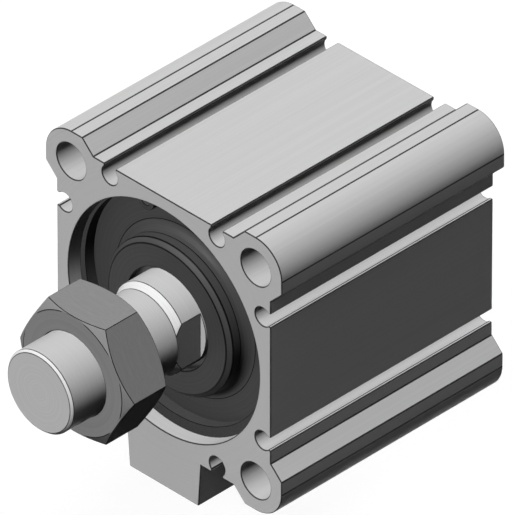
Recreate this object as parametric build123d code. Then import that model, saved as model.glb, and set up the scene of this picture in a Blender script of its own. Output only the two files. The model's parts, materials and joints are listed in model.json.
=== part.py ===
from build123d import *
import math
import os

# Compact double-acting pneumatic cylinder with a male rod end and a lock nut, in millimetres.
# The origin is on the bore axis, in the plane of the rod-side face. The rod points to -Y, +Z is
# up and the ports open downwards. A station is a distance along Y behind the rod-side face.

# Bore and stroke
bore_d = 50.0
stroke = 20.0

# Play between pieces: seated pieces, sliding or turning pieces, and piston ends
seat_play = 0.05
running_play = 0.03
ring_play = 0.1
end_play = 0.1

# Sizes closer than this count as the same when an edge is looked for
same_size = 0.001

# Extruded barrel: four flat sides, with a lobe at each corner for the mounting screws
wall = 4.0
lobe_rise = 3.0
lobe_corner_r = 7.0
lobe_land = 3.0

# Port rail under the barrel, with slightly drafted sides
rail_height = 10.0
rail_root_width = 20.2
rail_draft = 4.0

# Round sensor slots, two on each side, open to the outside through a narrower neck
slot_d = 4.2
slot_neck = 3.0
slot_from_lobe = 4.5

# Mounting screw holes through the lobes, threaded at both ends
screw_thread_d = 8.0
screw_thread_depth = 14.0
screw_hole_d = 6.6

# Ports in the rail, and the passages from them into the bore
port_d = 11.8
port_from_end = 10.5
port_chamfer = 0.8
passage_d = 3.2
passage_from_seat = 1.9

# Cover seats and the grooves of the retaining rings
seat_step = 1.0
groove_depth = 1.0
front_setback = 3.4
rear_setback = 1.5

# Retaining rings: eccentric rings, open at the top between two ears with plier holes
ring_thickness = 2.5
ring_lip = 1.2
ring_eccentricity = 1.1
ear_d = 4.6
ear_hole_d = 2.5
ear_angle = 19.9
ear_inset = 1.86

# Rod cover: flange in the seat, nose in the bore, boss towards the rod end
front_flange = 5.1
front_nose = 4.0
nose_gap = 1.8
boss_height = 4.95
boss_wall = 3.0
boss_fillet = 2.0
boss_chamfer = 1.0
lip_gap = 1.0
lip_thickness = 1.5
rod_seal_section = 4.0
rod_seal_length = 5.0
rod_seal_relief = 0.4
rod_seal_notch = 2.5
bush_land = 0.85
bush_land_gap = 0.4
bush_wall = 1.5
bush_recess = 0.1

# Rear cover
rear_flange = 4.0
rear_nose = 2.5
cover_edge = 0.5

# O-rings of the covers, and their grooves in the flanges
oring_d = 1.7
oring_room = 0.5
front_oring_setback = 1.5
rear_oring_setback = 0.9

# Piston, with a land beside each groove
piston_gap = 0.2
land = 0.85
wear_ring_width = 2.5
wear_ring_thickness = 1.9
wear_ring_split = 1.2
wear_ring_split_angle = 30.0
piston_seal_width = 3.4
piston_seal_depth = 3.9
lip_height = 0.5
magnet_width = 2.6
magnet_depth = 3.3
magnet_gap = 0.7
magnet_washer_width = 0.9

# Bumpers, set in the faces of the piston
bumper_inset = 1.5
bumper_proud = 1.0
bumper_width = 3.0
bumper_from_rod = 5.0
bumper_round = 0.5

# Rod: flats, chamfered step down to the thread, and a spigot into the piston
rod_d = 20.0
rod_reach = 33.5
thread_length = 28.5
thread_step = 1.0
step_length = 1.5
thread_chamfer = 0.55
flat_depth = 1.5
flat_length = 5.0
spigot_step = 3.0
spigot_length = 4.0
spigot_oring_d = 1.3

# Screw that holds the piston on the rod
piston_screw_d = 8.0
piston_screw_length = 22.0
piston_screw_head_d = 13.0
piston_screw_head = 4.4
piston_screw_socket = 5.0
piston_screw_socket_depth = 2.5
washer_thickness = 0.8
head_recess = 5.6

# Lock nut
nut_across_flats = 27.0
nut_height = 11.0
nut_from_tip = 9.0
nut_face_step = 0.1
nut_chamfer_angle = 30.0
nut_mouth = 0.6

# Worked out across the axis
bore_r = bore_d / 2
seat_r = bore_r + seat_step
groove_r = seat_r + groove_depth
side = bore_r + wall
reach = side + lobe_rise
screw_at = reach - lobe_corner_r
land_inner = screw_at - lobe_land
lobe_foot = land_inner - lobe_rise
slot_at = lobe_foot - slot_from_lobe
rail_face = side + rail_height
rod_r = rod_d / 2
thread_r = rod_r - thread_step
rod_seal_r = rod_r + rod_seal_section
boss_r = rod_seal_r + boss_wall
bush_r = rod_r + bush_wall
flange_r = seat_r - seat_play
nose_r = bore_r - nose_gap
oring_groove_r = flange_r - oring_d
piston_r = bore_r - piston_gap
sealed_r = bore_r - seat_play
spigot_r = rod_r - spigot_step
bumper_in_r = rod_r + bumper_from_rod
bumper_out_r = bumper_in_r + bumper_width

# Worked out along the axis, from the rod-side face to the rear face
front_ring_at = front_setback
front_cover_at = front_ring_at + ring_thickness
front_seat_at = front_cover_at + front_flange
chamber_from = front_seat_at + front_nose
piston_length = wear_ring_width + piston_seal_width + magnet_width + magnet_washer_width + 4 * land
piston_travel = stroke + piston_length + 2 * bumper_proud + 2 * end_play
chamber_to = chamber_from + piston_travel
rear_seat_at = chamber_to + rear_nose
rear_ring_at = rear_seat_at + rear_flange
rear_ring_to = rear_ring_at + ring_thickness
body_length = rear_ring_to + rear_setback
boss_at = front_cover_at - boss_height
rod_seal_at = boss_at + lip_thickness
bush_land_at = rod_seal_at + rod_seal_length
bush_at = bush_land_at + bush_land
piston_to = chamber_to - end_play - bumper_proud
piston_from = piston_to - piston_length
wear_ring_at = piston_from + land
piston_seal_at = wear_ring_at + wear_ring_width + land
magnet_at = piston_seal_at + piston_seal_width + land
magnet_washer_at = magnet_at + magnet_width
thread_to = thread_length - rod_reach
head_at = piston_to - head_recess


def station(y):
    """Sketch plane across the axis: local X is -X, local Y is up, and it extrudes to the rear."""
    return Plane(origin=(0, y, 0), x_dir=(-1, 0, 0), z_dir=(0, 1, 0))


def bar(radius, y_from, y_to, x=0, z=0):
    """Round bar parallel to the axis, between two stations."""
    return extrude(station(y_from) * Pos(-x, z) * Circle(radius), amount=y_to - y_from)


def tube(inner, outer, y_from, y_to):
    """Ring about the axis, between two stations."""
    return extrude(station(y_from) * (Circle(outer) - Circle(inner)), amount=y_to - y_from)


def turned(*profile):
    """Solid turned about the axis from a closed outline of (radius, station) points."""
    return revolve(make_face(Polyline(*profile, close=True)), Axis.Y)


def o_ring(inner, thickness, middle):
    """Round-section ring that lies on an inner radius, centred on a station."""
    return revolve(Pos(inner + thickness / 2, middle) * Circle(thickness / 2), Axis.Y)


def rims(piece, radius, y):
    """Circular edges of one radius at one station."""
    return piece.edges().filter_by(GeomType.CIRCLE).filter_by(
        lambda edge: abs(edge.radius - radius) < same_size and abs(edge.arc_center.Y - y) < same_size
    )


def barrel_quarter():
    """Quarter of the extruded section, with one lobe: flat, slope, land, round corner, and back."""
    top_flank = Polyline((0, side), (lobe_foot, side), (land_inner, reach), (screw_at, reach))
    corner = RadiusArc((screw_at, reach), (reach, screw_at), lobe_corner_r)
    right_flank = Polyline((reach, screw_at), (reach, land_inner), (side, lobe_foot), (side, 0))
    inside = Polyline((side, 0), (0, 0), (0, side))
    return make_face(top_flank + corner + right_flank + inside)


def slot_section():
    """Sensor slot in the upper side: a round bottom that just touches the side, and its neck."""
    round_bottom = Pos(slot_at, side - slot_d / 2) * Circle(slot_d / 2)
    neck = Pos(slot_at, side) * Rectangle(slot_neck, slot_d)
    return round_bottom + neck


def barrel_section():
    """Whole extruded section: four quarters, the port rail, the bore and the eight slots."""
    section = barrel_quarter()
    for turn in (90, 180, 270):
        section += Rot(0, 0, turn) * barrel_quarter()
    root = rail_root_width / 2
    tip = root - rail_height * math.tan(math.radians(rail_draft))
    rail = Polyline((-root, -side), (-tip, -rail_face), (tip, -rail_face), (root, -side), close=True)
    section += make_face(rail)
    slots = slot_section() + mirror(slot_section(), Plane.YZ)
    for turn in (0, 90, 180, 270):
        section -= Rot(0, 0, turn) * slots
    return section - Circle(bore_r)


def port(y, passage_y):
    """Port bore from the rail's face up to the barrel, its mouth chamfer, and the passage to the bore."""
    bore = Pos(0, y, -(rail_face + side) / 2) * Cylinder(port_d / 2, rail_height)
    cone = Cone(port_d / 2 + port_chamfer, port_d / 2, port_chamfer)
    mouth = Pos(0, y, port_chamfer / 2 - rail_face) * cone
    passage = Pos(0, passage_y, -side) * Cylinder(passage_d / 2, 2 * wall + seat_step)
    return bore + mouth + passage


def cylinder_body():
    """Barrel: extruded section, cover seats, ring grooves, mounting screw holes and ports."""
    body = extrude(station(0) * barrel_section(), amount=body_length)
    body -= bar(seat_r, 0, front_seat_at)
    body -= bar(seat_r, rear_seat_at, body_length)
    body -= bar(groove_r, front_ring_at, front_cover_at + ring_play)
    body -= bar(groove_r, rear_ring_at - ring_play, rear_ring_to)
    for x in (-screw_at, screw_at):
        for z in (-screw_at, screw_at):
            body -= bar(screw_hole_d / 2, 0, body_length, x, z)
            body -= bar(screw_thread_d / 2, 0, screw_thread_depth, x, z)
            body -= bar(screw_thread_d / 2, body_length - screw_thread_depth, body_length, x, z)
    body -= port(port_from_end, front_seat_at + passage_from_seat)
    body -= port(body_length - port_from_end, rear_seat_at - passage_from_seat)
    return body


def retaining_ring(y):
    """Internal retaining ring: widest at the bottom, open at the top between its two ears."""
    outer = Circle(groove_r - seat_play)
    opening = Pos(0, ring_eccentricity) * Circle(seat_r - ring_lip)
    ear_at = seat_r - ear_inset
    ear_x = ear_at * math.sin(math.radians(ear_angle))
    ear_z = ear_at * math.cos(math.radians(ear_angle))
    gap = Pos(0, ear_z) * Rectangle(2 * ear_x - ear_d / 3, 2 * ear_d)
    ring = outer - opening - gap
    for x in (-ear_x, ear_x):
        ring += Pos(x, ear_z) * Circle(ear_d / 2)
    for x in (-ear_x, ear_x):
        ring -= Pos(x, ear_z) * Circle(ear_hole_d / 2)
    return extrude(station(y) * ring, amount=ring_thickness)


def oring_groove(y):
    """Cutter for an O-ring groove in a cover's flange."""
    return tube(oring_groove_r, flange_r + oring_d, y, y + oring_d + oring_room)


def rod_cover():
    """Rod cover: flange, nose and boss, bored for the rod seal and the bush."""
    cover = bar(flange_r, front_cover_at, front_seat_at)
    cover += bar(nose_r, front_seat_at, chamber_from)
    cover += bar(boss_r, boss_at, front_cover_at)
    cover = fillet(rims(cover, boss_r, front_cover_at), boss_fillet)
    cover = chamfer(rims(cover, boss_r, boss_at), boss_chamfer)
    cover = chamfer(rims(cover, nose_r, chamber_from), cover_edge)
    cover -= bar(rod_r + lip_gap, boss_at, rod_seal_at)
    cover -= bar(rod_seal_r, rod_seal_at, bush_land_at)
    cover -= bar(rod_r + bush_land_gap, bush_land_at, bush_at)
    cover -= bar(bush_r, bush_at, chamber_from)
    return cover - oring_groove(front_cover_at + front_oring_setback)


def rear_cover():
    """Rear cover: plain disc in its seat, with a nose in the bore."""
    cover = bar(flange_r, rear_seat_at, rear_ring_at)
    cover += bar(nose_r, chamber_to, rear_seat_at)
    cover = chamfer(rims(cover, nose_r, chamber_to), cover_edge)
    cover = chamfer(rims(cover, flange_r, rear_ring_at), cover_edge)
    return cover - oring_groove(rear_seat_at + rear_oring_setback)


def cover_oring(groove_at):
    """O-ring that lies in a flange's groove."""
    return o_ring(oring_groove_r, oring_d, groove_at + (oring_d + oring_room) / 2)


def rod_bush():
    """Plain bush pressed into the rod cover, chamfered inside at both ends."""
    bush_to = chamber_from - bush_recess
    bush = tube(rod_r + running_play, bush_r - seat_play, bush_at, bush_to)
    mouths = rims(bush, rod_r + running_play, bush_at) + rims(bush, rod_r + running_play, bush_to)
    return chamfer(mouths, bush_wall / 4)


def rod_seal():
    """Lip seal that also wipes the rod: heel and wiping lip in front, sealing lips towards the air."""
    inner = rod_r + running_play
    outer = rod_seal_r - seat_play
    middle = (inner + outer) / 2
    front = rod_seal_at + seat_play
    rear = bush_land_at - seat_play
    throat = rear - rod_seal_notch
    return turned(
        (inner, front),
        (outer - rod_seal_relief, front),
        (outer - rod_seal_relief, throat),
        (outer, rear - rod_seal_relief),
        (outer - rod_seal_relief, rear),
        (middle, throat),
        (inner + rod_seal_relief, rear),
        (inner, rear - rod_seal_relief),
        (inner + rod_seal_relief, throat),
        (inner + rod_seal_relief, front + rod_seal_relief),
    )


def piston():
    """Piston: grooves round the outside, bumper seats in both faces, bored for spigot and screw."""
    body = bar(piston_r, piston_from, piston_to)
    body -= tube(sealed_r - wear_ring_thickness, bore_r, wear_ring_at, wear_ring_at + wear_ring_width)
    body -= tube(sealed_r - piston_seal_depth, bore_r, piston_seal_at, piston_seal_at + piston_seal_width)
    magnet_to = magnet_washer_at + magnet_washer_width
    body -= tube(piston_r - magnet_depth, bore_r, magnet_at, magnet_to)
    body -= tube(bumper_in_r, bumper_out_r, piston_from, piston_from + bumper_inset)
    body -= tube(bumper_in_r, bumper_out_r, piston_to - bumper_inset, piston_to)
    body -= bar(spigot_r + seat_play, piston_from, piston_from + spigot_length + end_play)
    body -= bar(piston_screw_d / 2 + seat_play, piston_from, piston_to)
    body -= bar(piston_screw_head_d / 2 + ring_play, head_at, piston_to)
    return body


def wear_ring():
    """Split guide ring that carries the piston in the bore."""
    outer = bore_r - running_play
    inner = sealed_r - wear_ring_thickness + seat_play
    y_from = wear_ring_at + seat_play
    y_to = wear_ring_at + wear_ring_width - seat_play
    cutter = Box(wear_ring_split, 2 * wear_ring_width, 4 * wear_ring_thickness)
    slant = Pos(0, (y_from + y_to) / 2, outer) * Rot(0, 0, wear_ring_split_angle)
    return tube(inner, outer, y_from, y_to) - slant * cutter


def piston_seal():
    """Double-acting seal: a lip at each side, relieved between them."""
    outer = bore_r - running_play
    inner = sealed_r - piston_seal_depth + seat_play
    front = piston_seal_at + seat_play
    rear = piston_seal_at + piston_seal_width - seat_play
    lip = (rear - front) / 4
    return turned(
        (inner, front),
        (outer - lip_height, front),
        (outer, front + lip / 2),
        (outer, front + lip),
        (outer - lip_height, front + 1.5 * lip),
        (outer - lip_height, rear - 1.5 * lip),
        (outer, rear - lip),
        (outer, rear - lip / 2),
        (outer - lip_height, rear),
        (inner, rear),
    )


def magnet_piece(y_from, width):
    """Ring in the magnet's groove."""
    inner = piston_r - magnet_depth + seat_play
    return tube(inner, piston_r - magnet_gap, y_from + seat_play / 2, y_from + width - seat_play / 2)


def bumper(y_inside, y_outside):
    """Elastomer ring that stands proud of the piston's face, with rounded outer edges."""
    y_from = min(y_inside, y_outside)
    y_to = max(y_inside, y_outside)
    inner = bumper_in_r + seat_play
    outer = bumper_out_r - seat_play
    ring = tube(inner, outer, y_from, y_to)
    edges = rims(ring, inner, y_outside) + rims(ring, outer, y_outside)
    return fillet(edges, bumper_round)


def spigot_groove_at():
    """Station of the O-ring's centre on the spigot."""
    return piston_from + spigot_length / 2


def piston_rod():
    """Rod: chamfered thread, step, wrench flats, ground shank, and a spigot bored for the screw."""
    tip = -rod_reach
    step_at = thread_to + step_length
    spigot_to = piston_from + spigot_length
    rod = turned(
        (0, tip),
        (thread_r - thread_chamfer, tip),
        (thread_r, tip + thread_chamfer),
        (thread_r, thread_to),
        (rod_r, step_at),
        (rod_r, piston_from),
        (spigot_r, piston_from),
        (spigot_r, spigot_to),
        (0, spigot_to),
    )
    flat_run = step_length + flat_length
    cutter = Box(rod_r, flat_run, rod_d)
    for hand in (1, -1):
        rod -= Pos(hand * (rod_r - flat_depth + rod_r / 2), thread_to + flat_run / 2, 0) * cutter
    groove_half = spigot_oring_d / 2 + seat_play
    groove_floor = spigot_r - spigot_oring_d + seat_play
    rod -= tube(groove_floor, rod_r, spigot_groove_at() - groove_half, spigot_groove_at() + groove_half)
    screw_to = head_at - washer_thickness - piston_screw_length
    return rod - bar(piston_screw_d / 2 + seat_play, screw_to - piston_screw_d / 2, spigot_to)


def piston_oring():
    """O-ring in the spigot's groove."""
    return o_ring(spigot_r - spigot_oring_d + seat_play, spigot_oring_d, spigot_groove_at())


def screw_washer():
    """Washer under the head of the piston's screw."""
    outer = piston_screw_head_d / 2
    return tube(piston_screw_d / 2 + ring_play, outer, head_at, head_at + washer_thickness)


def piston_screw():
    """Low-head socket screw from the rear through the piston into the rod."""
    under_head = head_at + washer_thickness
    head_to = under_head + piston_screw_head
    screw = bar(piston_screw_head_d / 2, under_head, head_to)
    screw = chamfer(rims(screw, piston_screw_head_d / 2, head_to), washer_thickness / 2)
    screw += bar(piston_screw_d / 2, under_head - piston_screw_length, under_head)
    hexagon = RegularPolygon(piston_screw_socket / 2, 6, major_radius=False)
    floor = station(head_to - piston_screw_socket_depth)
    return screw - extrude(floor * hexagon, amount=piston_screw_socket_depth)


def rod_end_nut():
    """Hexagon nut with two flats level, chamfered at both faces, on the rod's thread."""
    y_from = nut_from_tip - rod_reach
    y_to = y_from + nut_height
    corner_r = nut_across_flats / math.sqrt(3)
    face_r = nut_across_flats / 2 - nut_face_step
    drop = (corner_r - face_r) * math.tan(math.radians(nut_chamfer_angle))
    hexagon = extrude(station(y_from) * RegularPolygon(corner_r, 6), amount=nut_height)
    crown = turned(
        (0, y_from),
        (face_r, y_from),
        (corner_r, y_from + drop),
        (corner_r, y_to - drop),
        (face_r, y_to),
        (0, y_to),
    )
    bore = thread_r + seat_play
    nut = (hexagon & crown) - bar(bore, y_from, y_to)
    return chamfer(rims(nut, bore, y_from) + rims(nut, bore, y_to), nut_mouth)


pieces = {
    "cylinder_body": cylinder_body(),
    "front_retaining_ring": retaining_ring(front_ring_at),
    "rod_cover": rod_cover(),
    "rod_cover_oring": cover_oring(front_cover_at + front_oring_setback),
    "rod_bush": rod_bush(),
    "rod_seal": rod_seal(),
    "rear_cover": rear_cover(),
    "rear_cover_oring": cover_oring(rear_seat_at + rear_oring_setback),
    "rear_retaining_ring": retaining_ring(rear_ring_at),
    "piston": piston(),
    "wear_ring": wear_ring(),
    "piston_seal": piston_seal(),
    "magnet_ring": magnet_piece(magnet_at, magnet_width),
    "magnet_washer": magnet_piece(magnet_washer_at, magnet_washer_width),
    "front_bumper": bumper(piston_from + bumper_inset, piston_from - bumper_proud),
    "rear_bumper": bumper(piston_to - bumper_inset, piston_to + bumper_proud),
    "piston_rod": piston_rod(),
    "piston_oring": piston_oring(),
    "screw_washer": screw_washer(),
    "piston_screw": piston_screw(),
    "rod_end_nut": rod_end_nut(),
}

os.makedirs("parts", exist_ok=True)
for name, piece in pieces.items():
    export_step(piece, f"parts/{name}.step")
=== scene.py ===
import json
import math

import bmesh
import bpy
from mathutils import Matrix, Vector

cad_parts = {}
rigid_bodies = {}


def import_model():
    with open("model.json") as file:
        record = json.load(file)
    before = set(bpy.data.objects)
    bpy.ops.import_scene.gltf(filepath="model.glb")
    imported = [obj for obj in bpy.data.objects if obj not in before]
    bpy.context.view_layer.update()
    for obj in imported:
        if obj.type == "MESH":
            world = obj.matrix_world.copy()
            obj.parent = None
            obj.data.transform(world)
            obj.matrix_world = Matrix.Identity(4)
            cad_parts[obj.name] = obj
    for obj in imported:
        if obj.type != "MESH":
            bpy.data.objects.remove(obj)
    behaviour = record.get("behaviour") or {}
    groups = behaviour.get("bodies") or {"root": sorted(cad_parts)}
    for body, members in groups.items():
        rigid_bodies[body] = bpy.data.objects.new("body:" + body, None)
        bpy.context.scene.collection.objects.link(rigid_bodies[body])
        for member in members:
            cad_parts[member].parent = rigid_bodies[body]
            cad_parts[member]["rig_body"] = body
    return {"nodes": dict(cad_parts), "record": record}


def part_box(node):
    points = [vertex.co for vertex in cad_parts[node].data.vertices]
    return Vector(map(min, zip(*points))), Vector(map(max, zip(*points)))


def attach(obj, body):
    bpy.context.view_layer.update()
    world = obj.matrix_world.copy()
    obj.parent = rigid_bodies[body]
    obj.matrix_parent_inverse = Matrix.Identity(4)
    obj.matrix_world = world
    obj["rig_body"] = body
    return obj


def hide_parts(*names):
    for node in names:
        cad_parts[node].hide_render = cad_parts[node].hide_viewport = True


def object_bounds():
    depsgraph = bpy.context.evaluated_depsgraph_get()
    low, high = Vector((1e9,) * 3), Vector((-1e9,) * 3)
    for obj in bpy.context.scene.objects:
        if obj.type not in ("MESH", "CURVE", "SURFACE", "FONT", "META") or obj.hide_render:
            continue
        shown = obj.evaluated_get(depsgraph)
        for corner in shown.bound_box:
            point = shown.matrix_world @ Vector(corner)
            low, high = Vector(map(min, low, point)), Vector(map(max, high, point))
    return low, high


bl_info = {
    "name": "Compact pneumatic cylinder",
    "version": (1, 0, 0),
    "blender": (4, 5, 0),
    "location": "3D view > Sidebar > Cylinder",
    "description": "Finishes the pieces of a compact air cylinder round its packed model",
    "category": "Add Mesh",
}

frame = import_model()
frame_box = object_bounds()
MM = 0.001

# The camera looks at the body from the front right, from above, at equal angles to the three axes
LOOK_AT = Vector((7.77, 17.71, 9.94)) * MM
TOWARDS_CAMERA = Vector((1, -1, 1)).normalized()
CAMERA_DISTANCE = 4.1125
LENS_MM = 1500.0

# The floor and the world: size, place, colour, and how much light they give or show
FLOOR_HALF_SIZE = 6.0
FLOOR_GAP = 0.02 * MM
FLOOR_COLOUR = "#e7e7e7"
FLOOR_GLOW = 0.26
WORLD_LIGHT = 0.012
WORLD_SEEN = 1.0

# Lamps: where the light comes from, strength, softness in degrees. As in the photograph, the faces are
# lit by their angle alone, so the key lamp casts no shadow, a weaker one does, and the sheen lamp only
# gives gloss.
KEY_FROM = (0.045, -0.605, 0.89)
LAMPS = {
    "key_lamp": (KEY_FROM, 0.84, 10),
    "soft_key_lamp": (KEY_FROM, 0.24, 50),
    "back_lamp": ((-0.26, 0.97, 0.0), 0.95, 40),
    "sheen_lamp": ((-0.2, -0.72, 0.63), 1.6, 60),
}
SHADOWLESS = ("key_lamp", "sheen_lamp")
ONLY_GLOSS = ("sheen_lamp",)

# Places on the pieces that a finish follows
GROOVE_R = 27.0 * MM
ROD_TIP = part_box("piston_rod")[0].y
ROD_CHAMFER = 0.55 * MM
THREAD_R = 9.0 * MM
FLAT_AT = 8.5 * MM
STEP_FROM = -5.0 * MM
STEP_TO = -3.5 * MM

# Lines where a flat face runs into a round one: on a lobe, and at both ends of the boss's fillet
LOBE_REACH = 32.0 * MM
LOBE_ROUND_FROM = 25.0 * MM
BOSS_R = 17.0 * MM
BOSS_FILLET = 2.0 * MM
FLANGE_AT = 5.9 * MM
HALF_LINE = 0.1 * MM

# Edges that stay sharp: in the bore, and on the nut's face, within a turn of the middle of each flat,
# where its chamfer is narrower than a broken edge
BORE_R = 25.5 * MM
BORE_FROM = 6.1 * MM
BORE_TO = 52.4 * MM
NUT_FACE_R = 13.4 * MM
NUT_FLAT_TURN = math.radians(60)
NUT_NARROW_TURN = math.radians(16)

# The mouth of the nut's thread, which the photograph draws closed round the rod: the points between
# the first two radii move to the third
NUT_MOUTH = (9.3 * MM, 9.9 * MM, 9.12 * MM)

# Patterns: how long die lines are for their width, how large handled patches are, and how far a side
# of the barrel may turn towards its ends
LINE_STRETCH = 200.0
WORN_PATCH = 12.0 * MM
SIDE_LIMIT = 0.5

# A colour mix has its two colours in sockets 6 and 7, and gives the mixed one in output 2
COLOUR_A = 6
COLOUR_B = 7
MIXED_COLOUR = 2

# Meshes: points this near are one, faces this narrow go, points this near to a place are on it, and
# faces this flat to each other are one
SAME_POINT = 0.0001 * MM
NO_WIDTH = 0.001 * MM
NEAR_ENOUGH = 0.02 * MM
FLAT_ANGLE = 0.01

# Angles between faces: edges from one to another are broken, and shading stays sharp from the third
BROKEN_FROM = math.radians(28)
BROKEN_TO = math.radians(120)
SHARP_FROM = math.radians(35)


def linear(code):
    """Linear colour of an sRGB hex value."""
    parts = [int(code[i:i + 2], 16) / 255 for i in (1, 3, 5)]
    return (*(c / 12.92 if c <= 0.04045 else ((c + 0.055) / 1.055) ** 2.4 for c in parts), 1.0)


def size_property(name, description, millimetres):
    """Length that a user may change."""
    return bpy.props.FloatProperty(
        name=name,
        description=description,
        default=millimetres * MM,
        min=0.001 * MM,
        precision=5,
        subtype="DISTANCE",
        unit="LENGTH",
    )


def colour_property(name, description, code):
    """Colour that a user may change."""
    return bpy.props.FloatVectorProperty(
        name=name,
        description=description,
        default=linear(code),
        size=4,
        min=0.0,
        max=1.0,
        subtype="COLOR",
    )


class CylinderSizes(bpy.types.PropertyGroup):
    """Sizes of the finish. The real marks are too fine to show in a picture: die lines and turned rings
    are about 0.1 mm apart, and grinding lines, crystals, pores and moulded grain 0.02 to 0.05 mm. They
    are drawn as coarse as they need to be to show."""

    edge_break: size_property("Edge break", "Width of the broken edges on barrel and covers", 0.2)
    fine_edge: size_property("Fine edge break", "Width of the broken edges on rings, rod and nut", 0.1)
    die_line: size_property("Die lines", "Distance between the lines that the extrusion die leaves", 0.5)
    turning_feed: size_property("Turning feed", "Distance between the rings that turning leaves", 0.45)
    grinding_line: size_property("Grinding lines", "Distance between the lines on the ground rod", 0.3)
    crystal: size_property("Phosphate grain", "Size of the spots in the phosphate coat", 0.25)
    pore: size_property("Pores", "Distance between the pores in sintered bronze", 0.3)
    moulded_grain: size_property("Moulded grain", "Size of the grain on rubber and plastic", 0.2)


class CylinderColours(bpy.types.PropertyGroup):
    """Colours of the finishes."""

    aluminium: colour_property("Anodised aluminium", "Clear anodised barrel", "#cccccc")
    dark_aluminium: colour_property("Dark anodised aluminium", "Covers", "#4a4a4a")
    turned_aluminium: colour_property("Turned aluminium", "Piston", "#c4c6c8")
    spring_steel: colour_property("Phosphated spring steel", "Retaining rings", "#4a4a4a")
    rod_steel: colour_property("Hard chromed steel", "Rod", "#d2d2d2")
    # Chamfers of the rod: a freshly cut face, and a painted highlight
    fresh_cut_and_highlight: colour_property("Fresh cut and highlight", "Chamfers of the rod", "#ececec")
    nut_steel: colour_property("Machined steel", "Lock nut and washer", "#939393")
    black_steel: colour_property("Blackened steel", "Screw of the piston", "#2c2c2e")
    bronze: colour_property("Sintered bronze", "Bush in the rod cover", "#a8865a")
    rubber: colour_property("Nitrile rubber", "O-rings", "#202020")
    polyurethane: colour_property("Polyurethane", "Lip seals and bumpers", "#262627")
    filled_plastic: colour_property("Filled plastic", "Guide ring of the piston", "#5a4a3a")
    ferrite: colour_property("Bonded ferrite", "Magnet ring", "#303030")


def add(tree, kind, inputs=None, **settings):
    """Adds a node. An input is a number, a socket, or another node for that node's first output."""
    node = tree.nodes.new(kind)
    for name, value in settings.items():
        setattr(node, name, value)
    for socket, value in (inputs or {}).items():
        if isinstance(value, bpy.types.Node):
            value = value.outputs[0]
        if isinstance(value, bpy.types.NodeSocket):
            tree.links.new(value, node.inputs[socket])
        else:
            node.inputs[socket].default_value = value
    return node


def new_material(name):
    """Empty material, and the place on the object in its own coordinates."""
    material = bpy.data.materials.new(name)
    material.use_nodes = True
    tree = material.node_tree
    tree.nodes.clear()
    return tree, add(tree, "ShaderNodeTexCoord").outputs["Object"]


def finish(
    tree, place, marks, colour, *, spread, depth, roughness, gloss, edge_tone=1.0, lines=0.0, metallic=0.0
):
    """Shader whose colour and relief follow the marks on the surface. spread says how much lighter and
    darker the marks are, depth how deep they are in millimetres, lines where a line or painted shade is
    drawn, and edge_tone how much of the colour is left there and on broken edges. Roughness, a smooth and
    a rough value, gloss and metallic start from typical values and were then matched to the photograph,
    whose shading is matt. So the metals that it shows have no metallic share and little gloss, and the
    metals inside, which it doesn't show, keep theirs."""
    shade = add(tree, "ShaderNodeMapRange", {"Value": marks, "To Min": 1 - spread, "To Max": 1 + spread})
    broken = add(tree, "ShaderNodeAttribute", attribute_name="broken_edge")
    edges = add(tree, "ShaderNodeMath", {0: broken.outputs["Fac"], 1: lines}, operation="MAXIMUM")
    tone = add(tree, "ShaderNodeMapRange", {"Value": edges, "To Min": 1.0, "To Max": edge_tone})
    share = add(tree, "ShaderNodeMath", {0: shade, 1: tone}, operation="MULTIPLY")
    toned = add(
        tree,
        "ShaderNodeMix",
        {0: 1.0, COLOUR_A: colour, COLOUR_B: share},
        data_type="RGBA",
        blend_type="MULTIPLY",
    )
    # Handling leaves patches that are a little smoother than the rest
    patches = add(tree, "ShaderNodeTexNoise", {"Vector": place, "Scale": 1 / WORN_PATCH})
    smooth, rough = roughness
    drift = add(tree, "ShaderNodeMapRange", {"Value": patches, "To Min": smooth, "To Max": rough})
    shader = add(
        tree,
        "ShaderNodeBsdfPrincipled",
        {
            "Base Color": toned.outputs[MIXED_COLOUR],
            "Metallic": metallic,
            "Roughness": drift,
            "Specular IOR Level": gloss,
            "Normal": add(tree, "ShaderNodeBump", {"Height": marks, "Distance": depth * MM}),
        },
    )
    add(tree, "ShaderNodeOutputMaterial", {"Surface": shader})


def from_the_axis(tree, place):
    """Distance from the cylinder's axis, and place along it."""
    across = add(
        tree,
        "ShaderNodeVectorMath",
        {0: place, 1: (1.0, 0.0, 1.0)},
        operation="MULTIPLY",
    )
    radius = add(tree, "ShaderNodeVectorMath", {0: across}, operation="LENGTH")
    split = add(tree, "ShaderNodeSeparateXYZ", {0: place})
    return radius.outputs["Value"], split.outputs["Y"]


def band(tree, along, along_range, outward, outward_range):
    """1 on a band round the axis: between two places along it, and between two distances from it."""
    inside = []
    for value, (low, high) in ((along, along_range), (outward, outward_range)):
        middle = (low + high) / 2
        test = {0: value, 1: middle, 2: high - middle}
        inside.append(add(tree, "ShaderNodeMath", test, operation="COMPARE"))
    return add(tree, "ShaderNodeMath", {0: inside[0], 1: inside[1]}, operation="MULTIPLY")


def turned_rings(tree, place, feed):
    """Rings round the axis, on faces and round cylinders, as far apart as the tool's feed."""
    radius, along = from_the_axis(tree, place)
    ring = add(tree, "ShaderNodeCombineXYZ", {"X": radius, "Y": along})
    return add(tree, "ShaderNodeTexNoise", {"Vector": ring, "Scale": 1 / feed, "Detail": 3.0})


def die_lines(tree, place, spacing):
    """Fine lines along the cylinder, far longer than they are wide."""
    squeezed = add(
        tree,
        "ShaderNodeVectorMath",
        {0: place, 1: (1.0, 1 / LINE_STRETCH, 1.0)},
        operation="MULTIPLY",
    )
    return add(tree, "ShaderNodeTexNoise", {"Vector": squeezed, "Scale": 1 / spacing, "Detail": 3.0})


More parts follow.
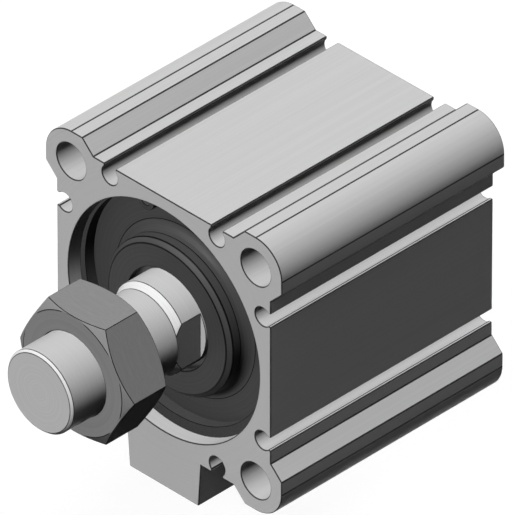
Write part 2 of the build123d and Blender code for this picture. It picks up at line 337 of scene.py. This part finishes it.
def anodised_aluminium(name, colours, sizes):
    """Extruded alloy, faced and bored at the ends, then clear anodised: a satin silver grey whose
    sides have faint lines along them and whose ends and seats have fine rings."""
    tree, place = new_material(name)
    radius, _ = from_the_axis(tree, place)
    normal = add(tree, "ShaderNodeTexCoord").outputs["Normal"]
    facing = add(tree, "ShaderNodeSeparateXYZ", {0: normal})
    endways = add(tree, "ShaderNodeMath", {0: facing.outputs["Y"]}, operation="ABSOLUTE")
    side = add(tree, "ShaderNodeMath", {0: endways, 1: SIDE_LIMIT}, operation="LESS_THAN")
    seat_r = GROOVE_R + sizes.edge_break
    outside = add(tree, "ShaderNodeMath", {0: radius, 1: seat_r}, operation="GREATER_THAN")
    marks = add(
        tree,
        "ShaderNodeMix",
        {
            "Factor": add(tree, "ShaderNodeMath", {0: side, 1: outside}, operation="MULTIPLY"),
            "A": turned_rings(tree, place, sizes.turning_feed),
            "B": die_lines(tree, place, sizes.die_line),
        },
    )
    finish(
        tree,
        place,
        marks,
        colours.aluminium,
        spread=0.08,
        depth=0.003,
        roughness=(0.38, 0.48),
        gloss=0.05,
        edge_tone=0.08,
    )


def dark_anodised_aluminium(name, colours, sizes):
    """Turned alloy, dyed and hard anodised: satin charcoal with rings round the axis, and a darker one
    at each end of the boss's fillet."""
    tree, place = new_material(name)
    radius, along = from_the_axis(tree, place)
    rings = []
    for ring_r, ring_y in ((BOSS_R + BOSS_FILLET, FLANGE_AT), (BOSS_R, FLANGE_AT - BOSS_FILLET)):
        on_y = (ring_y - HALF_LINE, ring_y + HALF_LINE)
        on_r = (ring_r - HALF_LINE, ring_r + HALF_LINE)
        rings.append(band(tree, along, on_y, radius, on_r))
    lines = add(tree, "ShaderNodeMath", {0: rings[0], 1: rings[1]}, operation="ADD")
    marks = turned_rings(tree, place, sizes.turning_feed)
    finish(
        tree,
        place,
        marks,
        colours.dark_aluminium,
        spread=0.25,
        depth=0.006,
        roughness=(0.35, 0.47),
        gloss=0.05,
        edge_tone=0.08,
        lines=lines,
    )


def turned_aluminium(name, colours, sizes):
    """Turned alloy without a coat: bright, with clear rings that glint."""
    tree, place = new_material(name)
    marks = turned_rings(tree, place, sizes.turning_feed)
    finish(
        tree,
        place,
        marks,
        colours.turned_aluminium,
        spread=0.05,
        depth=0.004,
        roughness=(0.3, 0.42),
        gloss=0.5,
        metallic=1.0,
    )


def phosphated_spring_steel(name, colours, sizes):
    """Stamped spring steel with a phosphate coat: matt charcoal, mottled like fine sandpaper."""
    tree, place = new_material(name)
    scale = 1 / sizes.crystal
    marks = add(tree, "ShaderNodeTexNoise", {"Vector": place, "Scale": scale, "Detail": 4.0})
    finish(
        tree,
        place,
        marks,
        colours.spring_steel,
        spread=0.4,
        depth=0.01,
        roughness=(0.57, 0.63),
        gloss=0.03,
        edge_tone=0.05,
    )


def machined_steel(name, colours, sizes):
    """Turned and milled steel with a thin dull zinc coat: mid grey with fine rings, and painted dark at
    the thread as the shade that lies in it."""
    tree, place = new_material(name)
    radius, _ = from_the_axis(tree, place)
    bore_r = THREAD_R + sizes.edge_break
    # Painted shade: the thread and the mouth of the bore are drawn dark
    thread = add(tree, "ShaderNodeMath", {0: radius, 1: bore_r}, operation="LESS_THAN")
    marks = turned_rings(tree, place, sizes.turning_feed)
    finish(
        tree,
        place,
        marks,
        colours.nut_steel,
        spread=0.12,
        depth=0.004,
        roughness=(0.37, 0.49),
        gloss=0.001,
        edge_tone=0.03,
        lines=thread,
    )


def hard_chromed_steel(name, colours, sizes):
    """Steel, ground and hard chromed: smooth satin grey with hair lines round it, and chamfers that were
    cut last and are painted brighter, as a painted highlight."""
    tree, place = new_material(name)
    radius, along = from_the_axis(tree, place)
    split = add(tree, "ShaderNodeSeparateXYZ", {0: place})
    across = add(tree, "ShaderNodeMath", {0: split.outputs["X"]}, operation="ABSOLUTE")
    # The chamfers at the tip and at the step take the lighter colour: freshly cut, and a painted
    # highlight
    tip_range = (ROD_TIP - ROD_CHAMFER, ROD_TIP + ROD_CHAMFER)
    tip = band(tree, along, tip_range, radius, (THREAD_R - ROD_CHAMFER, THREAD_R + ROD_CHAMFER))
    cone = band(tree, along, (STEP_FROM, STEP_TO), across, (-FLAT_AT, FLAT_AT - sizes.fine_edge))
    colour = add(
        tree,
        "ShaderNodeMix",
        {
            0: add(tree, "ShaderNodeMath", {0: tip, 1: cone}, operation="ADD"),
            COLOUR_A: tuple(colours.rod_steel),
            COLOUR_B: tuple(colours.fresh_cut_and_highlight),
        },
        data_type="RGBA",
    )
    marks = turned_rings(tree, place, sizes.grinding_line)
    finish(
        tree,
        place,
        marks,
        colour.outputs[MIXED_COLOUR],
        spread=0.1,
        depth=0.001,
        roughness=(0.26, 0.34),
        gloss=0.01,
        edge_tone=0.1,
    )


def blackened_steel(name, colours, sizes):
    """Heat blackened steel: near black with a soft oily shine."""
    tree, place = new_material(name)
    scale = 1 / sizes.crystal
    marks = add(tree, "ShaderNodeTexNoise", {"Vector": place, "Scale": scale, "Detail": 4.0})
    finish(
        tree,
        place,
        marks,
        colours.black_steel,
        spread=0.1,
        depth=0.002,
        roughness=(0.36, 0.44),
        gloss=0.5,
        metallic=1.0,
    )


def bearing_bronze(name, colours, sizes):
    """Sintered bronze soaked with oil: brown gold with open pores."""
    tree, place = new_material(name)
    marks = add(tree, "ShaderNodeTexVoronoi", {"Vector": place, "Scale": 1 / sizes.pore})
    finish(
        tree,
        place,
        marks,
        colours.bronze,
        spread=0.2,
        depth=0.01,
        roughness=(0.36, 0.44),
        gloss=0.5,
        metallic=1.0,
    )


def nitrile_rubber(name, colours, sizes):
    """Moulded rubber: soft black."""
    tree, place = new_material(name)
    scale = 1 / sizes.moulded_grain
    marks = add(tree, "ShaderNodeTexNoise", {"Vector": place, "Scale": scale, "Detail": 4.0})
    finish(
        tree,
        place,
        marks,
        colours.rubber,
        spread=0.1,
        depth=0.004,
        roughness=(0.55, 0.65),
        gloss=0.4,
    )


def seal_polyurethane(name, colours, sizes):
    """Moulded polyurethane: smooth, near black and a little shiny."""
    tree, place = new_material(name)
    scale = 1 / sizes.moulded_grain
    marks = add(tree, "ShaderNodeTexNoise", {"Vector": place, "Scale": scale, "Detail": 4.0})
    finish(
        tree,
        place,
        marks,
        colours.polyurethane,
        spread=0.05,
        depth=0.002,
        roughness=(0.3, 0.4),
        gloss=0.5,
    )


def wear_ring_plastic(name, colours, sizes):
    """Plastic filled with bronze powder: matt brown with specks."""
    tree, place = new_material(name)
    scale = 1 / sizes.moulded_grain
    marks = add(tree, "ShaderNodeTexNoise", {"Vector": place, "Scale": scale, "Detail": 4.0})
    finish(
        tree,
        place,
        marks,
        colours.filled_plastic,
        spread=0.25,
        depth=0.003,
        roughness=(0.45, 0.55),
        gloss=0.4,
    )


def magnet_compound(name, colours, sizes):
    """Ferrite powder in plastic: matt dark grey with a fine grain."""
    tree, place = new_material(name)
    scale = 1 / sizes.moulded_grain
    marks = add(tree, "ShaderNodeTexNoise", {"Vector": place, "Scale": scale, "Detail": 4.0})
    finish(
        tree,
        place,
        marks,
        colours.ferrite,
        spread=0.15,
        depth=0.004,
        roughness=(0.55, 0.65),
        gloss=0.3,
    )


# A material slot of the record, and the function that makes its finish
FINISHES = {
    "anodised_aluminium": anodised_aluminium,
    "dark_anodised_aluminium": dark_anodised_aluminium,
    "turned_aluminium": turned_aluminium,
    "phosphated_spring_steel": phosphated_spring_steel,
    "machined_steel": machined_steel,
    "blackened_steel": blackened_steel,
    "hard_chromed_steel": hard_chromed_steel,
    "bearing_bronze": bearing_bronze,
    "nitrile_rubber": nitrile_rubber,
    "seal_polyurethane": seal_polyurethane,
    "wear_ring_plastic": wear_ring_plastic,
    "magnet_compound": magnet_compound,
}


def finish_for(slot):
    """Material of a slot, made the first time that a piece needs it."""
    name = slot + "_finish"
    if name not in bpy.data.materials:
        scene = bpy.context.scene
        FINISHES[slot](name, scene.cylinder_colours, scene.cylinder_sizes)
    return bpy.data.materials[name]


def slot_of(node):
    """Material slot that the record gives a node."""
    return next(p["material_slot"] for p in frame["record"]["subparts"] if p["node"] == node)


def without_bounce(piece):
    """Keeps light that bounces off a piece away from the others, as in the photograph's shading."""
    piece.visible_diffuse = False


def finish_nodes(*nodes):
    """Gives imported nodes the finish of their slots."""
    for node in nodes:
        piece = frame["nodes"][node]
        piece.data.materials.clear()
        piece.data.materials.append(finish_for(slot_of(node)))
        without_bounce(piece)


def on_lobe_round(edge):
    """True for the line where a lobe's flat land runs into its round corner."""
    for vert in edge.verts:
        inner, outer = sorted((abs(vert.co.x), abs(vert.co.z)))
        if abs(inner - LOBE_ROUND_FROM) > NEAR_ENOUGH or abs(outer - LOBE_REACH) > NEAR_ENOUGH:
            return False
    return True


def inside_bore(edge):
    """True for an edge in the bore, where nobody sees it."""
    for vert in edge.verts:
        if math.hypot(vert.co.x, vert.co.z) > BORE_R or not BORE_FROM < vert.co.y < BORE_TO:
            return False
    return True


def on_narrow_chamfer(edge):
    """True for an edge of the nut's face near the middle of a flat, where its chamfer is narrow."""
    for vert in edge.verts:
        turn = math.atan2(vert.co.x, vert.co.z) % NUT_FLAT_TURN
        if abs(math.hypot(vert.co.x, vert.co.z) - NUT_FACE_R) > NEAR_ENOUGH:
            return False
        if min(turn, NUT_FLAT_TURN - turn) > NUT_NARROW_TURN:
            return False
    return True


def under_flat(edge):
    """True for the inner edge where a wrench flat of the rod ends at its thread, which stays sharp."""
    for vert in edge.verts:
        if abs(abs(vert.co.x) - FLAT_AT) > NEAR_ENOUGH or abs(vert.co.y - STEP_FROM) > NEAR_ENOUGH:
            return False
    return True


def nowhere(edge):
    """False for every edge."""
    return False


def machined_copy(node, name, edge_break, lined=nowhere, left_sharp=nowhere, mouth=None):
    """Copy of a node with its edges broken, which stands for it in its finish. lined picks lines that
    the photograph draws where a flat face runs into a round one, and left_sharp edges to leave. mouth
    gives the radii between which the points of a bore's mouth lie, and the one that they move to."""
    bm = bmesh.new()
    bm.from_mesh(frame["nodes"][node].data)
    bmesh.ops.remove_doubles(bm, verts=bm.verts, dist=SAME_POINT)
    bmesh.ops.dissolve_limit(
        bm, angle_limit=FLAT_ANGLE, use_dissolve_boundaries=False, verts=bm.verts, edges=bm.edges
    )
    if mouth:
        wide_from, wide_to, narrow = mouth
        for vert in bm.verts:
            radius = math.hypot(vert.co.x, vert.co.z)
            if wide_from < radius < wide_to:
                vert.co.x *= narrow / radius
                vert.co.z *= narrow / radius
    edges = []
    for edge in bm.edges:
        sharp = BROKEN_FROM < edge.calc_face_angle(0.0) < BROKEN_TO
        if lined(edge) or sharp and not left_sharp(edge):
            edges.append(edge)
    broken = bmesh.ops.bevel(
        bm,
        geom=edges,
        affect="EDGES",
        offset=edge_break,
        offset_type="OFFSET",
        segments=2,
        profile=0.5,
        material=-1,
        clamp_overlap=False,
    )
    marked = bm.loops.layers.float.new("broken_edge")
    for face in broken["faces"]:
        for loop in face.loops:
            loop[marked] = 1.0
    bmesh.ops.dissolve_degenerate(bm, dist=NO_WIDTH, edges=bm.edges)
    for face in bm.faces:
        face.smooth = True
    mesh = bpy.data.meshes.new(name)
    bm.to_mesh(mesh)
    bm.free()
    mesh.set_sharp_from_angle(angle=SHARP_FROM)
    mesh.materials.append(finish_for(slot_of(node)))
    piece = bpy.data.objects.new(name, mesh)
    bpy.context.scene.collection.objects.link(piece)
    weighted = piece.modifiers.new("flat_faces_stay_flat", "WEIGHTED_NORMAL")
    weighted.keep_sharp = True
    without_bounce(piece)
    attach(piece, frame["nodes"][node]["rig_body"])
    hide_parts(node)


class CYLINDER_OT_barrel(bpy.types.Operator):
    """Finish the extruded barrel"""

    bl_idname = "cylinder.barrel"
    bl_label = "Barrel"

    def execute(self, context):
        edge_break = context.scene.cylinder_sizes.edge_break
        machined_copy("cylinder_body", "barrel", edge_break, lined=on_lobe_round, left_sharp=inside_bore)
        return {"FINISHED"}


class CYLINDER_OT_covers(bpy.types.Operator):
    """Finish the two covers, their retaining rings and O-rings"""

    bl_idname = "cylinder.covers"
    bl_label = "Covers and rings"

    def execute(self, context):
        sizes = context.scene.cylinder_sizes
        machined_copy("rod_cover", "rod_cover_turned", sizes.edge_break)
        machined_copy("rear_cover", "rear_cover_turned", sizes.edge_break)
        machined_copy("front_retaining_ring", "front_ring_stamped", sizes.fine_edge)
        machined_copy("rear_retaining_ring", "rear_ring_stamped", sizes.fine_edge)
        finish_nodes("rod_cover_oring", "rear_cover_oring", "rod_bush", "rod_seal")
        return {"FINISHED"}


class CYLINDER_OT_rod(bpy.types.Operator):
    """Finish the rod and its lock nut"""

    bl_idname = "cylinder.rod"
    bl_label = "Rod and lock nut"

    def execute(self, context):
        fine_edge = context.scene.cylinder_sizes.fine_edge
        machined_copy("piston_rod", "rod_ground", fine_edge, left_sharp=under_flat)
        machined_copy(
            "rod_end_nut", "lock_nut_machined", fine_edge, left_sharp=on_narrow_chamfer, mouth=NUT_MOUTH
        )
        return {"FINISHED"}


class CYLINDER_OT_piston(bpy.types.Operator):
    """Finish the piston, its rings and bumpers, and the screw that holds it"""

    bl_idname = "cylinder.piston"
    bl_label = "Piston"

    def execute(self, context):
        finish_nodes("piston", "piston_screw", "screw_washer", "piston_oring")
        finish_nodes("piston_seal", "wear_ring", "magnet_ring", "magnet_washer")
        finish_nodes("front_bumper", "rear_bumper")
        return {"FINISHED"}


def lamp(name, direction, strength, softness):
    """Distant lamp that lights the object from a direction, over an angle in degrees."""
    light = bpy.data.lights.new(name, "SUN")
    light.energy = strength * math.pi
    light.angle = math.radians(softness)
    light.use_shadow = name not in SHADOWLESS
    made = bpy.data.objects.new(name, light)
    made.visible_diffuse = name not in ONLY_GLOSS
    made.matrix_world = Vector(direction).to_track_quat("Z", "Y").to_matrix().to_4x4()
    bpy.context.scene.collection.objects.link(made)


def seen_share(tree):
    """1 for camera, glossy and transmission rays, and 0 for the rest."""
    path = add(tree, "ShaderNodeLightPath")
    share = path.outputs["Is Camera Ray"]
    for ray in ("Is Glossy Ray", "Is Transmission Ray"):
        share = add(tree, "ShaderNodeMath", {0: share, 1: path.outputs[ray]}, operation="MAXIMUM")
    return share


def white_paper():
    """Material of the floor: matt paper that takes the object's shadow, near white where it is seen,
    and that throws no light back."""
    material = bpy.data.materials.new("white_paper")
    material.use_nodes = True
    tree = material.node_tree
    tree.nodes.clear()
    matt = add(tree, "ShaderNodeBsdfDiffuse", {"Color": linear(FLOOR_COLOUR)})
    glow = add(tree, "ShaderNodeEmission", {"Strength": FLOOR_GLOW})
    dark = add(tree, "ShaderNodeEmission", {"Strength": 0.0})
    both = add(tree, "ShaderNodeAddShader", {0: matt, 1: glow})
    seen = add(tree, "ShaderNodeMixShader", {0: seen_share(tree), 1: dark, 2: both})
    add(tree, "ShaderNodeOutputMaterial", {"Surface": seen})
    return material


def studio():
    """World that is white where it is seen and gives little light."""
    world = bpy.data.worlds.new("studio")
    world.use_nodes = True
    tree = world.node_tree
    tree.nodes.clear()
    limits = {"Value": seen_share(tree), "To Min": WORLD_LIGHT, "To Max": WORLD_SEEN}
    strength = add(tree, "ShaderNodeMapRange", limits)
    sky = add(tree, "ShaderNodeBackground", {"Color": linear("#ffffff"), "Strength": strength})
    add(tree, "ShaderNodeOutputWorld", {"Surface": sky})
    return world


class CYLINDER_OT_stage(bpy.types.Operator):
    """Add the floor, the lamps and the camera"""

    bl_idname = "cylinder.stage"
    bl_label = "Stage"

    def execute(self, context):
        scene = context.scene
        bm = bmesh.new()
        bmesh.ops.create_grid(bm, x_segments=1, y_segments=1, size=FLOOR_HALF_SIZE)
        bmesh.ops.translate(bm, verts=bm.verts, vec=(0, 0, frame_box[0][2] - FLOOR_GAP))
        mesh = bpy.data.meshes.new("floor")
        bm.to_mesh(mesh)
        bm.free()
        floor = bpy.data.objects.new("floor", mesh)
        scene.collection.objects.link(floor)
        mesh.materials.append(white_paper())
        scene.world = studio()

        for name, (direction, strength, softness) in LAMPS.items():
            lamp(name, direction, strength, softness)

        camera = bpy.data.cameras.new("camera")
        camera.lens = LENS_MM
        eye = bpy.data.objects.new("camera", camera)
        turn = TOWARDS_CAMERA.to_track_quat("Z", "Y").to_matrix().to_4x4()
        eye.matrix_world = Matrix.Translation(LOOK_AT + TOWARDS_CAMERA * CAMERA_DISTANCE) @ turn
        scene.collection.objects.link(eye)
        scene.camera = eye
        scene.view_settings.view_transform = "Standard"
        return {"FINISHED"}


OPERATORS = (
    CYLINDER_OT_barrel,
    CYLINDER_OT_covers,
    CYLINDER_OT_rod,
    CYLINDER_OT_piston,
    CYLINDER_OT_stage,
)


class CYLINDER_PT_panel(bpy.types.Panel):
    """Lists the cylinder's sizes, colours and pieces"""

    bl_idname = "CYLINDER_PT_panel"
    bl_label = "Compact cylinder"
    bl_space_type = "VIEW_3D"
    bl_region_type = "UI"
    bl_category = "Cylinder"

    def draw(self, context):
        for group in (context.scene.cylinder_sizes, context.scene.cylinder_colours):
            for name in group.__annotations__:
                self.layout.prop(group, name)
        for operator in OPERATORS:
            self.layout.operator(operator.bl_idname)


CLASSES = (CylinderSizes, CylinderColours, *OPERATORS, CYLINDER_PT_panel)


def register():
    for cls in CLASSES:
        bpy.utils.register_class(cls)
    bpy.types.Scene.cylinder_sizes = bpy.props.PointerProperty(type=CylinderSizes)
    bpy.types.Scene.cylinder_colours = bpy.props.PointerProperty(type=CylinderColours)


def unregister():
    del bpy.types.Scene.cylinder_colours
    del bpy.types.Scene.cylinder_sizes
    for cls in reversed(CLASSES):
        bpy.utils.unregister_class(cls)


def main():
    """Registers the add-on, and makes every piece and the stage."""
    register()
    bpy.ops.cylinder.barrel()
    bpy.ops.cylinder.covers()
    bpy.ops.cylinder.rod()
    bpy.ops.cylinder.piston()
    bpy.ops.cylinder.stage()


if __name__ == "__main__":
    main()
